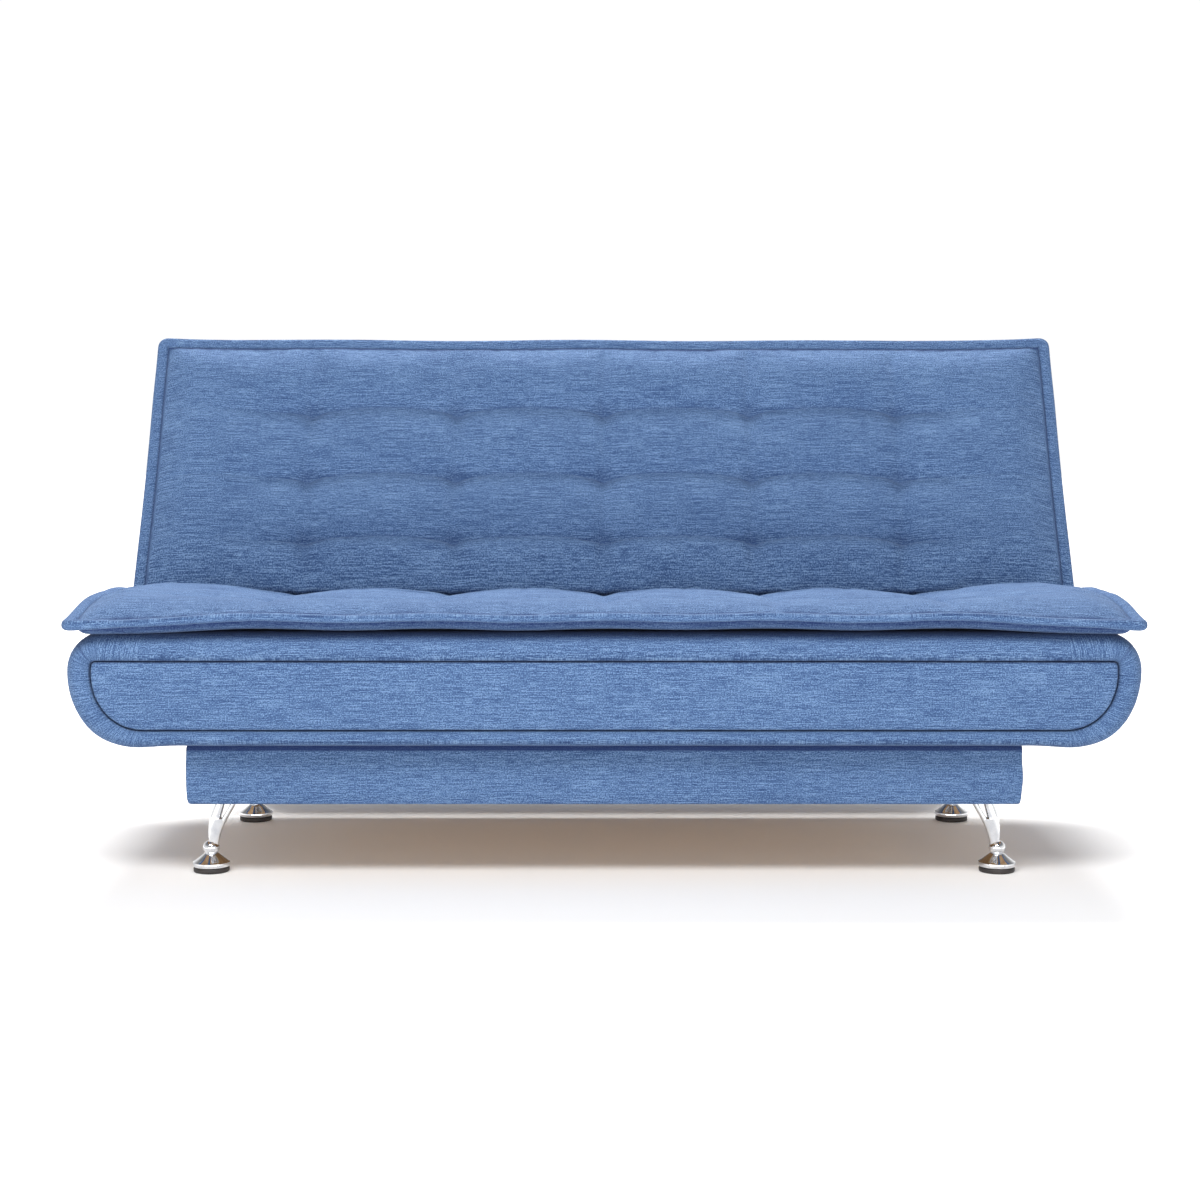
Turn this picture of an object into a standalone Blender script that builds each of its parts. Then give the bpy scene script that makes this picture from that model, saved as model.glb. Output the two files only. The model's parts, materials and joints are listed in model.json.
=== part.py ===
"""Click-clack futon sofa bed: a boat-shaped storage chest on a plinth with four chrome legs,
and two equal slatted frames with mattresses that share one hinge line.

Frame: +Z up, +X along the length, -Y towards the person who stands in front of the sofa.
The origin is on the floor, under the middle of the whole sofa. Lengths are in metres.
The seat and the back are drawn about the hinge line: u runs to the rear and w runs up, and
the back is drawn lying flat, then raised by its empty to the angle that it has as a sofa.
"""

from math import acos, cos, pi, radians, sin, tau

import bmesh
import bpy
from mathutils import Matrix, Vector

# ---------------------------------------------------------------- driving dimensions
LENGTH = 1.850              # of each mattress, flange tip to flange tip
REACH = 0.572               # from the hinge line to the outer edge of each mattress
HINGE_HEIGHT = 0.470        # the hinge line, level with the middle of the mattress flanges
BACK_TILT = radians(29)     # of the back from upright, as a sofa
HINGE_GAP = 0.012           # from the hinge line to the near edge of each mattress

FLANGE_HALF = 0.006         # half the thickness of the mattress flange
FLANGE_WIDTH = 0.020
MATTRESS_CROWN = 0.020      # top of the mattress above the flange's middle
MATTRESS_SOLE = 0.0245      # underside of the mattress below it
MATTRESS_CORNER = 0.030

SEAT_FRAME_HALF = 0.8000    # outer half length of the seat frame
BACK_FRAME_HALF = 0.8088    # the back frame is wider, so that its arms lie outside the seat's
FRAME_NEAR = 0.052          # from the hinge line to the near rail of each frame
FRAME_FAR = 0.496           # and to the outer face of the far rail
RAIL = 0.030
SLAT_THICK = 0.012
SLAT_WIDE = 0.070
SLAT_COUNT = 5
GAP = 0.0004                # between pieces that touch

BASE_SHIFT = 0.030          # chest front behind the seat's front edge
CHEST_DEPTH = 0.735
CHEST_TOP = 0.4395
CHEST_BOTTOM = 0.240
CHEST_HALF = 0.925          # widest half length of the boat-shaped outline
CHEST_WIDEST = 0.372        # height at which it is widest
BOARD = 0.018
PADDING = 0.0225            # foam and cover on the front board
REAR_COVER = 0.007
CHEST_INNER_HALF = 0.8196
REAR_SILL = 0.392           # top of the rear board, under the back frame when it lies flat

PLINTH_SETBACK = 0.045      # plinth front behind the chest front
PLINTH_DEPTH = 0.650
PLINTH_HALF = 0.726
PLINTH_BOTTOM = 0.135
BLOCK = 0.090
BLOCK_TALL = 0.040

FOOT_X = 0.702
FOOT_INSET = 0.075          # foot centre behind the plinth front, and ahead of its rear
PAD_RADIUS = 0.0320
PAD_TALL = 0.009

ARM_THICK = 0.004
BRACKET_THICK = 0.005
EYE = 0.011                 # radius of each hinge eye
PIN = 0.005
PIN_HOLE = 0.0054
RATCHET_TIP = 0.038         # from the hinge line to the tips of the ratchet teeth
RATCHET_FIRST = radians(228)
RATCHET_LAST = radians(316)
RATCHET_TEETH = 9
PAWL_PIVOT_RADIUS = 0.056
PAWL_PIVOT_ANGLE = radians(246)

# ---------------------------------------------------------------- dimensions worked out
MATTRESS_BOTTOM = -MATTRESS_SOLE
SLAT_TOP = MATTRESS_BOTTOM - 2 * GAP
SLAT_BOTTOM = SLAT_TOP - SLAT_THICK
RAIL_TOP = SLAT_BOTTOM - GAP
RAIL_BOTTOM = RAIL_TOP - RAIL
COVER_TOP = RAIL_BOTTOM - GAP
COVER_BOTTOM = COVER_TOP - 0.006
COVER_FAR = FRAME_FAR + 0.026

REAR_REACH = COVER_FAR * sin(BACK_TILT) - COVER_BOTTOM * cos(BACK_TILT)
HINGE_Y = (REACH - REAR_REACH) / 2
CHEST_FRONT = HINGE_Y - REACH + BASE_SHIFT
CHEST_REAR = CHEST_FRONT + CHEST_DEPTH
FRONT_BOARD_Y = CHEST_FRONT + PADDING + GAP
REAR_BOARD_Y = CHEST_REAR - REAR_COVER - GAP - BOARD
INSIDE_FRONT = FRONT_BOARD_Y + BOARD + GAP
INSIDE_REAR = REAR_BOARD_Y - GAP
FLOOR_Z = CHEST_BOTTOM + GAP
PLINTH_FRONT = CHEST_FRONT + PLINTH_SETBACK
PLINTH_REAR = PLINTH_FRONT + PLINTH_DEPTH
PLINTH_TOP = CHEST_BOTTOM - GAP

# Side layers of the hinge, from the seat frame outwards
SEAT_ARM_X = SEAT_FRAME_HALF + GAP
RATCHET_X = SEAT_ARM_X + ARM_THICK + GAP
BACK_ARM_X = RATCHET_X + ARM_THICK + GAP
BRACKET_X = BACK_ARM_X + ARM_THICK + GAP
BRACKET_END_X = BRACKET_X + BRACKET_THICK

# ---------------------------------------------------------------- materials
COLOURS = {
    "blue_fabric": ((0.125, 0.225, 0.435), 0.90, 0.0),
    "pine": ((0.560, 0.400, 0.235), 0.60, 0.0),
    "plywood": ((0.500, 0.370, 0.230), 0.65, 0.0),
    "zinc_steel": ((0.560, 0.565, 0.570), 0.35, 1.0),
    "chrome": ((0.800, 0.805, 0.810), 0.08, 1.0),
    "dark_rubber": ((0.035, 0.030, 0.028), 0.70, 0.0),
}


def material(kind, node):
    """A Principled material of the kind's colour, for one node."""
    colour, roughness, metallic = COLOURS[kind]
    made = bpy.data.materials.new(f"{node}_{kind}")
    made.use_nodes = True
    shader = made.node_tree.nodes["Principled BSDF"]
    shader.inputs["Base Color"].default_value = (*colour, 1.0)
    shader.inputs["Roughness"].default_value = roughness
    shader.inputs["Metallic"].default_value = metallic
    return made


# ---------------------------------------------------------------- outlines
def arc(centre, radius, start, end, steps):
    """Points on an arc from one angle to the other, both ends included."""
    angles = [start + (end - start) * i / steps for i in range(steps + 1)]
    return [(centre[0] + radius * cos(a), centre[1] + radius * sin(a)) for a in angles]


def circle(centre, radius, steps=24):
    return arc(centre, radius, 0, tau * (steps - 1) / steps, steps - 1)


def curve_points(p0, p1, p2, p3, steps):
    """Points on a cubic curve after its first point."""
    points = []
    for i in range(1, steps + 1):
        t = i / steps
        a, b, c, d = (1 - t) ** 3, 3 * t * (1 - t) ** 2, 3 * t * t * (1 - t), t ** 3
        points.append(tuple(a * p0[k] + b * p1[k] + c * p2[k] + d * p3[k] for k in (0, 1)))
    return points


def flank(inset=0.0):
    """The chest's right flank from its bottom to its top, seen from the front."""
    top, bottom = CHEST_TOP - inset, CHEST_BOTTOM + inset
    widest = (CHEST_HALF - inset, CHEST_WIDEST)
    foot, shoulder = (0.800, bottom), (0.870 - inset, top)
    lower = curve_points(foot, (0.894, bottom), (widest[0], 0.306), widest, 10)
    upper = curve_points(widest, (widest[0], 0.408), (0.906 - inset, top), shoulder, 7)
    return [foot, *lower, *upper]


def boat(inset=0.0):
    """The chest's whole outline seen from the front."""
    right = flank(inset)
    return right + [(-x, z) for x, z in reversed(right)]


def boat_with_sill(inset=0.0):
    """The outline of the rear, cut down between the sides to let the back lie flat."""
    right = flank(inset)
    inner, top = CHEST_INNER_HALF, CHEST_TOP - inset
    half = right + [(inner, top), (inner, REAR_SILL)]
    return half + [(-x, z) for x, z in reversed(half)]


# ---------------------------------------------------------------- making objects
def finish(name, mesh_data, kind, parent=None, bevel=0.0):
    """Turn a bmesh into a named object with its own material."""
    bmesh.ops.remove_doubles(mesh_data, verts=mesh_data.verts, dist=1e-6)
    bmesh.ops.recalc_face_normals(mesh_data, faces=mesh_data.faces)
    mesh = bpy.data.meshes.new(name)
    mesh_data.to_mesh(mesh)
    mesh_data.free()
    mesh.materials.append(material(kind, name))
    made = bpy.data.objects.new(name, mesh)
    bpy.context.collection.objects.link(made)
    made.parent = parent
    if bevel:
        rounding = made.modifiers.new("bevel", "BEVEL")
        rounding.width = bevel
        rounding.segments = 1
        rounding.limit_method = "ANGLE"
    return made


def box(name, low, high, kind, parent=None, bevel=0.002):
    """A box between two corners."""
    solid = bmesh.new()
    size = [h - l for l, h in zip(low, high)]
    middle = [(h + l) / 2 for l, h in zip(low, high)]
    place = Matrix.Translation(middle) @ Matrix.Diagonal((*size, 1.0))
    bmesh.ops.create_cube(solid, size=1.0, matrix=place)
    return finish(name, solid, kind, parent, bevel)


def prism(outline, holes, low, high, to_space):
    """A bmesh plate: an outline with holes, given thickness between two planes."""
    solid = bmesh.new()
    edges = []
    for loop in (outline, *holes):
        verts = [solid.verts.new(to_space(p, low)) for p in loop]
        edges += [solid.edges.new((verts[i - 1], verts[i])) for i in range(len(verts))]
    filled = bmesh.ops.triangle_fill(solid, edges=edges, use_beauty=True, use_dissolve=False)
    faces = [f for f in filled["geom"] if isinstance(f, bmesh.types.BMFace)]
    raised = bmesh.ops.extrude_face_region(solid, geom=faces)
    lifted = [v for v in raised["geom"] if isinstance(v, bmesh.types.BMVert)]
    offset = to_space((0, 0), high) - to_space((0, 0), low)
    bmesh.ops.translate(solid, verts=lifted, vec=offset)
    return solid


def across(point, depth):
    """Outline in X and Z, thickness along Y."""
    return Vector((point[0], depth, point[1]))


def side_view(point, depth):
    """Outline in Y and Z, thickness along X."""
    return Vector((depth, point[0], point[1]))


def plate(name, outline, holes, side, x_low, kind, parent, thick=ARM_THICK):
    """A steel plate of the hinge, on the right (side 1) or the left (side -1)."""
    solid = prism(outline, holes, side * x_low, side * (x_low + thick), side_view)
    return finish(name, solid, kind, parent)


def turned(profile, steps, axis="Z"):
    """A bmesh turned from (radius, height) points, closed at both ends."""
    solid = bmesh.new()
    rings = []
    for radius, height in profile:
        ring = [(x, y, height) for x, y in circle((0, 0), radius, steps)]
        rings.append([solid.verts.new(p) for p in ring])
    for lower, upper in zip(rings, rings[1:]):
        for i in range(steps):
            solid.faces.new((lower[i - 1], lower[i], upper[i], upper[i - 1]))
    solid.faces.new(rings[0])
    solid.faces.new(rings[-1])
    if axis == "X":
        bmesh.ops.rotate(solid, verts=solid.verts, matrix=Matrix.Rotation(pi / 2, 3, "Y"))
    return solid


def round_shading(made, angle=radians(35)):
    made.data.shade_smooth()
    made.data.set_sharp_from_angle(angle=angle)


def empty(name, place, tilt=0.0, parent=None):
    """An empty on a joint's axis."""
    made = bpy.data.objects.new(name, None)
    made.location = place
    made.rotation_euler = (tilt, 0, 0)
    made.parent = parent
    bpy.context.collection.objects.link(made)
    return made


# ---------------------------------------------------------------- the chest
def build_chest():
    """Boards, padding and covers of the storage chest."""
    front = prism(boat(), [], CHEST_FRONT, CHEST_FRONT + PADDING, across)
    finish("chest_front_padding", front, "blue_fabric", bevel=0.004)
    board = prism(boat(0.004), [], FRONT_BOARD_Y, FRONT_BOARD_Y + BOARD, across)
    finish("chest_front_board", board, "plywood")
    board = prism(boat_with_sill(0.004), [], REAR_BOARD_Y, REAR_BOARD_Y + BOARD, across)
    finish("chest_rear_board", board, "plywood")
    cover = prism(boat_with_sill(), [], CHEST_REAR - REAR_COVER, CHEST_REAR, across)
    finish("chest_rear_cover", cover, "blue_fabric")

    pad_x = CHEST_INNER_HALF + BOARD + GAP
    floor_top = FLOOR_Z + BOARD
    box("chest_floor", (GAP - pad_x, INSIDE_FRONT, FLOOR_Z),
        (pad_x - GAP, INSIDE_REAR, floor_top), "plywood")
    box("seat_rest_rail", (-0.78, INSIDE_FRONT, 0.365),
        (0.78, INSIDE_FRONT + 0.026, HINGE_HEIGHT + RAIL_BOTTOM - GAP), "pine")

    outer = [p for p in flank() if p[0] > pad_x]
    profile = [(pad_x, CHEST_BOTTOM + 0.0062), *outer, (pad_x, CHEST_TOP)]
    for side, word in ((-1, "left"), (1, "right")):
        ends = sorted((side * CHEST_INNER_HALF, side * (pad_x - GAP)))
        box(f"chest_side_board_{word}", (ends[0], INSIDE_FRONT, floor_top + GAP),
            (ends[1], INSIDE_REAR, CHEST_TOP - 0.004), "plywood")
        pad = prism([(side * x, z) for x, z in profile], [], INSIDE_FRONT, INSIDE_REAR, across)
        finish(f"chest_side_padding_{word}", pad, "blue_fabric")


# ---------------------------------------------------------------- the plinth, legs and feet
def build_plinth():
    """Four boards and the corner blocks that the legs screw into."""
    inner = PLINTH_HALF - BOARD - GAP
    for word, y in (("front", PLINTH_FRONT), ("rear", PLINTH_REAR - BOARD)):
        box(f"plinth_{word}_board", (-PLINTH_HALF, y, PLINTH_BOTTOM),
            (PLINTH_HALF, y + BOARD, PLINTH_TOP), "plywood")
    for side, word in ((-1, "left"), (1, "right")):
        ends = sorted((side * PLINTH_HALF, side * (PLINTH_HALF - BOARD)))
        box(f"plinth_{word}_board", (ends[0], PLINTH_FRONT + BOARD + GAP, PLINTH_BOTTOM),
            (ends[1], PLINTH_REAR - BOARD - GAP, PLINTH_TOP), "plywood")
        for end, near_y in (("front", PLINTH_FRONT + BOARD + GAP),
                            ("rear", PLINTH_REAR - BOARD - GAP - BLOCK)):
            ends = sorted((side * inner, side * (inner - BLOCK)))
            box(f"corner_block_{end}_{word}", (ends[0], near_y, PLINTH_BOTTOM),
                (ends[1], near_y + BLOCK, PLINTH_BOTTOM + BLOCK_TALL), "pine")


def leg_outline(side):
    """A leg seen from the front: a leaning shaft that forks into two prongs at the top."""
    top = PLINTH_BOTTOM - GAP - 0.002
    outer = curve_points((FOOT_X + 0.0035, 0.042), (FOOT_X + 0.007, 0.085),
                         (FOOT_X + 0.002, 0.104), (FOOT_X - 0.013, top), 7)
    inner = curve_points((FOOT_X - 0.052, top), (FOOT_X - 0.028, 0.094),
                         (FOOT_X - 0.016, 0.074), (FOOT_X - 0.0125, 0.042), 7)
    crotch = (FOOT_X - 0.0195, 0.096)
    slot = [(FOOT_X - 0.0275, top), (FOOT_X - 0.0215, 0.101), crotch,
            (FOOT_X - 0.0180, 0.101), (FOOT_X - 0.0305 + 0.010, top)]
    slot.reverse()
    outline = [(FOOT_X + 0.0035, 0.042), *outer, *slot, (FOOT_X - 0.052, top), *inner]
    return [(side * x, z) for x, z in outline]


def foot_profile():
    """The turned foot: a rim, a concave cone and the ball that the shaft stands in."""
    rim, cone_top = 0.0330, 0.034
    base = PAD_TALL + GAP
    cone = curve_points((rim, 0.0175), (0.020, 0.0200), (0.012, 0.0260), (0.0105, cone_top), 5)
    ball = arc((0.0020, 0.0425), 0.0130, radians(-40), radians(64), 6)
    return [(rim - 0.001, base), (rim, base + 0.001), (rim, 0.0175), *cone, *ball]


def union(target, tools):
    """Join overlapping solids into the target."""
    for tool in tools:
        tool.hide_render = True
        tool.display_type = "WIRE"
        joined = target.modifiers.new(tool.name, "BOOLEAN")
        joined.operation = "UNION"
        joined.solver = "EXACT"
        joined.object = tool


def build_legs():
    """Forked chrome legs on turned feet, each with its screw plate and its rubber pad."""
    for end, y in (("front", PLINTH_FRONT + FOOT_INSET), ("rear", PLINTH_REAR - FOOT_INSET)):
        for side, word in ((-1, "left"), (1, "right")):
            shaft = prism(leg_outline(side), [], y - 0.010, y + 0.010, across)
            leg = finish(f"leg_{end}_{word}", shaft, "chrome", bevel=0.003)
            foot = turned(foot_profile(), 24)
            bmesh.ops.translate(foot, verts=foot.verts, vec=(side * FOOT_X, y, 0))
            foot = finish(f"cutter_foot_{end}_{word}", foot, "chrome")
            ends = sorted((side * (FOOT_X - 0.065), side * FOOT_X))
            top = box(f"cutter_plate_{end}_{word}", (ends[0], y - 0.022, PLINTH_BOTTOM - 0.0034),
                      (ends[1], y + 0.022, PLINTH_BOTTOM - GAP), "chrome", bevel=0)
            union(leg, (foot, top))
            round_shading(leg)
            pad = turned([(PAD_RADIUS - 0.002, 0), (PAD_RADIUS, 0.002), (PAD_RADIUS, PAD_TALL)], 24)
            bmesh.ops.translate(pad, verts=pad.verts, vec=(side * FOOT_X, y, 0))
            round_shading(finish(f"foot_pad_{end}_{word}", pad, "dark_rubber"))


# ---------------------------------------------------------------- mattresses and frames
def rounded_rectangle(x_half, near, far, radius, steps=5):
    corners = ((x_half - radius, far - radius, 0), (radius - x_half, far - radius, 1),
               (radius - x_half, near + radius, 2), (x_half - radius, near + radius, 3))
    points = []
    for x, y, turn in corners:
        points += arc((x, y), radius, turn * pi / 2, (turn + 1) * pi / 2, steps)
    return points


def build_mattress(name, direction, parent):
    """A flanged mattress on one side of the hinge line (direction -1 seat, 1 back)."""
    levels = (
        (MATTRESS_BOTTOM, 0.045),
        (-0.010, FLANGE_WIDTH),
        (-FLANGE_HALF, 0.0015),
        (FLANGE_HALF, 0.0015),
        (0.010, FLANGE_WIDTH),
        (MATTRESS_CROWN, 0.060),
    )
    solid = bmesh.new()
    rings = []
    for w, inset in levels:
        radius = MATTRESS_CORNER + inset / 2
        loop = rounded_rectangle(LENGTH / 2 - inset, HINGE_GAP + inset, REACH - inset, radius)
        rings.append([solid.verts.new((x, direction * y, w)) for x, y in loop])
    middle = [(x, direction * y, 0) for x, y in
              rounded_rectangle(LENGTH / 2, HINGE_GAP, REACH, MATTRESS_CORNER)]
    rings.insert(3, [solid.verts.new(p) for p in middle])
    for lower, upper in zip(rings, rings[1:]):
        for i in range(len(lower)):
            solid.faces.new((lower[i - 1], lower[i], upper[i], upper[i - 1]))
    solid.faces.new(rings[0])
    solid.faces.new(rings[-1])
    round_shading(finish(name, solid, "blue_fabric", parent))


def build_frame(word, direction, half, parent):
    """A wooden frame of four rails with slats across it."""
    near, far = FRAME_NEAR, FRAME_FAR
    far_word, near_word = ("front", "rear") if direction < 0 else ("top", "bottom")

    def span(name, x_low, x_high, u_low, u_high, w_low, w_high):
        u_ends = sorted((direction * u_low, direction * u_high))
        box(name, (x_low, u_ends[0], w_low), (x_high, u_ends[1], w_high), "pine", parent)

    span(f"{word}_{near_word}_rail", -half, half, near, near + RAIL, RAIL_BOTTOM, RAIL_TOP)
    span(f"{word}_{far_word}_rail", -half, half, far - RAIL, far, RAIL_BOTTOM, RAIL_TOP)
    for side, side_word in ((-1, "left"), (1, "right")):
        x_ends = sorted((side * half, side * (half - RAIL)))
        span(f"{word}_{side_word}_rail", *x_ends, near + RAIL + GAP, far - RAIL - GAP,
             RAIL_BOTTOM, RAIL_TOP)
    pitch = (2 * half - RAIL - SLAT_WIDE) / (SLAT_COUNT - 1)
    for i in range(SLAT_COUNT):
        x = (i - (SLAT_COUNT - 1) / 2) * pitch
        span(f"{word}_slat_{i + 1}", x - SLAT_WIDE / 2, x + SLAT_WIDE / 2, near + 0.004,
             far - 0.004, SLAT_BOTTOM, SLAT_TOP)


# ---------------------------------------------------------------- the click-clack hinges
ARM_TOP = RAIL_TOP - 0.004
ARM_BOTTOM = RAIL_BOTTOM + 0.004
NECK = 0.0085


def eye_arc():
    """The hinge eye's outline, from the right of its neck over the top to the left."""
    neck_angle = acos(NECK / EYE)
    return arc((0, 0), EYE, -neck_angle, pi + neck_angle, 14)


def arm_outline(direction):
    """An L-shaped arm: the eye, a neck down between the mattresses, a strap along the rail."""
    outline = [*eye_arc(), (-NECK, ARM_BOTTOM + 0.006), (-NECK + 0.006, ARM_BOTTOM),
               (0.250, ARM_BOTTOM), (0.256, ARM_BOTTOM + 0.006), (0.256, ARM_TOP - 0.006),
               (0.250, ARM_TOP), (0.018, ARM_TOP), (NECK, ARM_TOP + 0.010)]
    return [(direction * u, w) for u, w in outline]


def back_arm_outline():
    """The back's arm also has a lobe, which carries the pawl's pin."""
    centre = pawl_pivot()
    lobe = arc(centre, 0.009, radians(120), radians(262), 8)
    strap = [(0.250, ARM_BOTTOM), (0.256, ARM_BOTTOM + 0.006), (0.256, ARM_TOP - 0.006),
             (0.250, ARM_TOP), (0.018, ARM_TOP), (NECK, ARM_TOP + 0.010)]
    return [*eye_arc(), (-NECK, -0.030), *lobe, (-0.010, ARM_BOTTOM), *strap]


def pawl_pivot():
    return (PAWL_PIVOT_RADIUS * cos(PAWL_PIVOT_ANGLE), PAWL_PIVOT_RADIUS * sin(PAWL_PIVOT_ANGLE))


def ratchet_outline():
    """A hub with a fan of saw teeth below it."""
    outline = [*eye_arc(), (-NECK, -0.017)]
    step = (RATCHET_LAST - RATCHET_FIRST) / RATCHET_TEETH
    root = RATCHET_TIP - 0.0035
    for i in range(RATCHET_TEETH):
        start = RATCHET_FIRST + i * step
        outline.append((root * cos(start), root * sin(start)))
        tip = start + 0.15 * step
        outline.append((RATCHET_TIP * cos(tip), RATCHET_TIP * sin(tip)))
    outline.append((root * cos(RATCHET_LAST), root * sin(RATCHET_LAST)))
    outline.append((NECK, -0.017))
    return outline


def pawl_outline():
    """A pawl about its own pin: a round heel and a nose that reaches for the teeth."""
    heel = 0.0065
    reach = PAWL_PIVOT_RADIUS - RATCHET_TIP - 0.0006
    nose = PAWL_PIVOT_ANGLE - pi

    def turn(along, aside):
        return (along * cos(nose) - aside * sin(nose), along * sin(nose) + aside * cos(nose))

    back = arc((0, 0), heel, nose + pi / 2, nose + 3 * pi / 2, 10)
    return [*back, turn(reach - 0.006, -heel), turn(reach, -0.0010), turn(reach - 0.004, 0.0045)]


def bracket_outline():
    """The fixed bracket: an eye, a neck and a wide strap down the chest's side board."""
    low, wide, step = -0.195, 0.020, -0.060
    return [*eye_arc(), (-NECK, step), (-wide, step - 0.012), (-wide, low + 0.008),
            (-wide + 0.008, low), (wide - 0.008, low), (wide, low + 0.008),
            (wide, step - 0.012), (NECK, step)]


def bolt_profile():
    """The hinge bolt with its nut: shank between two hexagonal ends."""
    nut, start, end = 0.0082, SEAT_ARM_X - GAP, BRACKET_END_X + GAP
    return [(nut, start - 0.005), (nut, start), (PIN, start), (PIN, end), (nut, end),
            (nut, end + 0.0045)]


def build_hinges(fixed, seat, back):
    """On each side: bracket and bolt on the chest, arm and ratchet on the seat, arm and pawl."""
    hole = circle((0, 0), PIN_HOLE)
    pivot = pawl_pivot()
    for side, word in ((-1, "left"), (1, "right")):
        plate(f"hinge_bracket_{word}", bracket_outline(), [hole], side, BRACKET_X, "zinc_steel",
              fixed, BRACKET_THICK)
        plate(f"seat_hinge_arm_{word}", arm_outline(-1), [hole], side, SEAT_ARM_X,
              "zinc_steel", seat)
        plate(f"ratchet_{word}", ratchet_outline(), [hole], side, RATCHET_X, "zinc_steel", seat)
        plate(f"back_hinge_arm_{word}", back_arm_outline(), [hole, circle(pivot, 0.0030, 16)],
              side, BACK_ARM_X, "zinc_steel", back)
        pin = empty(f"pawl_axis_{word}", (0, *pivot), parent=back)
        plate(f"pawl_{word}", pawl_outline(), [], side, RATCHET_X, "zinc_steel", pin)
        bolt = turned(bolt_profile(), 24, axis="X")
        if side < 0:
            bmesh.ops.scale(bolt, verts=bolt.verts, vec=(-1, 1, 1))
        round_shading(finish(f"hinge_bolt_{word}", bolt, "zinc_steel", fixed))


def build():
    for old in list(bpy.data.objects):
        bpy.data.objects.remove(old, do_unlink=True)
    hinge_line = (0, HINGE_Y, HINGE_HEIGHT)
    fixed = empty("hinge_line", hinge_line)
    seat = empty("seat_axis", hinge_line)
    back = empty("back_axis", hinge_line, tilt=pi / 2 - BACK_TILT)
    build_chest()
    build_plinth()
    build_legs()
    build_frame("seat", -1, SEAT_FRAME_HALF, seat)
    build_mattress("seat_mattress", -1, seat)
    build_frame("back", 1, BACK_FRAME_HALF, back)
    build_mattress("back_mattress", 1, back)
    box("back_cover", (-BACK_FRAME_HALF, FRAME_NEAR - 0.002, COVER_BOTTOM),
        (BACK_FRAME_HALF, COVER_FAR, COVER_TOP), "blue_fabric", back, bevel=0)
    build_hinges(fixed, seat, back)


build()
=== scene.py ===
"""Looks of the click-clack futon sofa bed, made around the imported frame.

Lengths are in metres. Soft pieces of the seat and the back are drawn in panel coordinates:
x along the sofa, u away from the hinge line, w above the middle of the mattress flange.
"""
import json
from math import cos, pi, radians, sin, tau

import bmesh
import bpy
import numpy as np
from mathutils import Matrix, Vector


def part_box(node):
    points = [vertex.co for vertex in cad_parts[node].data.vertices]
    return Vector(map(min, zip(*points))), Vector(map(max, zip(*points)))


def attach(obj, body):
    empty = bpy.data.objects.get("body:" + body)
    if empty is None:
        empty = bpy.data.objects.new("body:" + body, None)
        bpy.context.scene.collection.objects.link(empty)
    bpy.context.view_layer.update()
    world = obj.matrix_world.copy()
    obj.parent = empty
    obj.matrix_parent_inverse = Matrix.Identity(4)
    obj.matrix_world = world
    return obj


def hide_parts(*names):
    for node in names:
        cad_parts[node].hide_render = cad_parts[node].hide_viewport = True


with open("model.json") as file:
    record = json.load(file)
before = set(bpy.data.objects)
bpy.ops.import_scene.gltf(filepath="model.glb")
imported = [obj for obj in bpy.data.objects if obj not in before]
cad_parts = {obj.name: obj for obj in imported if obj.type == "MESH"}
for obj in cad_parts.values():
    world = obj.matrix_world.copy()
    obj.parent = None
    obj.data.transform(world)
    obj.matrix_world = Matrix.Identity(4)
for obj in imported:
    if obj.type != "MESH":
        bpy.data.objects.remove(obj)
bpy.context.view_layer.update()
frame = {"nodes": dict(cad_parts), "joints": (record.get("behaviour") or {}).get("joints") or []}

# ---------------- sizes read from the frame
JOINTS = {joint["name"]: joint for joint in frame["joints"]}
HINGE = Vector(JOINTS["back_recline"]["pos_m"])
RAISE = radians(JOINTS["back_recline"]["range_deg"][1])
SEAT_LOW, SEAT_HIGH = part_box("seat_mattress")
HALF = SEAT_HIGH.x
REACH = HINGE.y - SEAT_LOW.y
NEAR = HINGE.y - SEAT_HIGH.y
SOLE = HINGE.z - SEAT_LOW.z
FRONT_LOW, FRONT_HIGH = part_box("chest_front_padding")
FRONT_BOARD_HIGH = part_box("chest_front_board")[1]
REAR_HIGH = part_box("chest_rear_cover")[1]
REAR_BOARD_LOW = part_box("chest_rear_board")[0]
SIDE_BOARD_LOW, SIDE_BOARD_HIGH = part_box("chest_side_board_right")
PLINTH_LOW, PLINTH_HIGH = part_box("plinth_front_board")
PLINTH_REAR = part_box("plinth_rear_board")[1].y
SILL = 0.0005 + min(v.co.z for v in frame["nodes"]["chest_rear_board"].data.vertices
                    if abs(v.co.x) < SIDE_BOARD_HIGH.x and v.co.z > SIDE_BOARD_LOW.z + 0.05)
COVER_NODE = frame["nodes"]["back_cover"]

# ---------------- sizes of the soft parts
FLANGE = 0.019              # from the mattress seam to the flange's tip
FLANGE_THICK = 0.0145
SEAT_CROWN = 0.0190         # of the pillows above the flange's middle, before inflation
BACK_CROWN = 0.0270
TUFT_PITCH = 0.297          # between the five columns of tufts
TUFT_ROWS = (0.102, 0.243, 0.393)
COLUMNS = [(k - 2) * TUFT_PITCH for k in range(5)]
ARCH = 0.012                # of each channel between two tufts
CELL = 0.0085               # of the cloth's grid
LIP = 0.003                 # half the pad's thickness at its seam
WELT = 0.0048               # width of the line of painted shade beside the flange
TUFT_DEPTH = 0.0045
TUFT_WIDTH = 0.018
CORNER = 0.80               # x of the upright seams at the ends of the chest's front


def smooth(value, low, high):
    """0 below low, 1 above high, smooth between them."""
    t = np.clip((value - low) / (high - low), 0, 1)
    return t * t * (3 - 2 * t)


def bell(value, centre, width):
    """1 at the centre, falling to nothing a few widths away."""
    return np.exp(-((value - centre) / width) ** 2)


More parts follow.
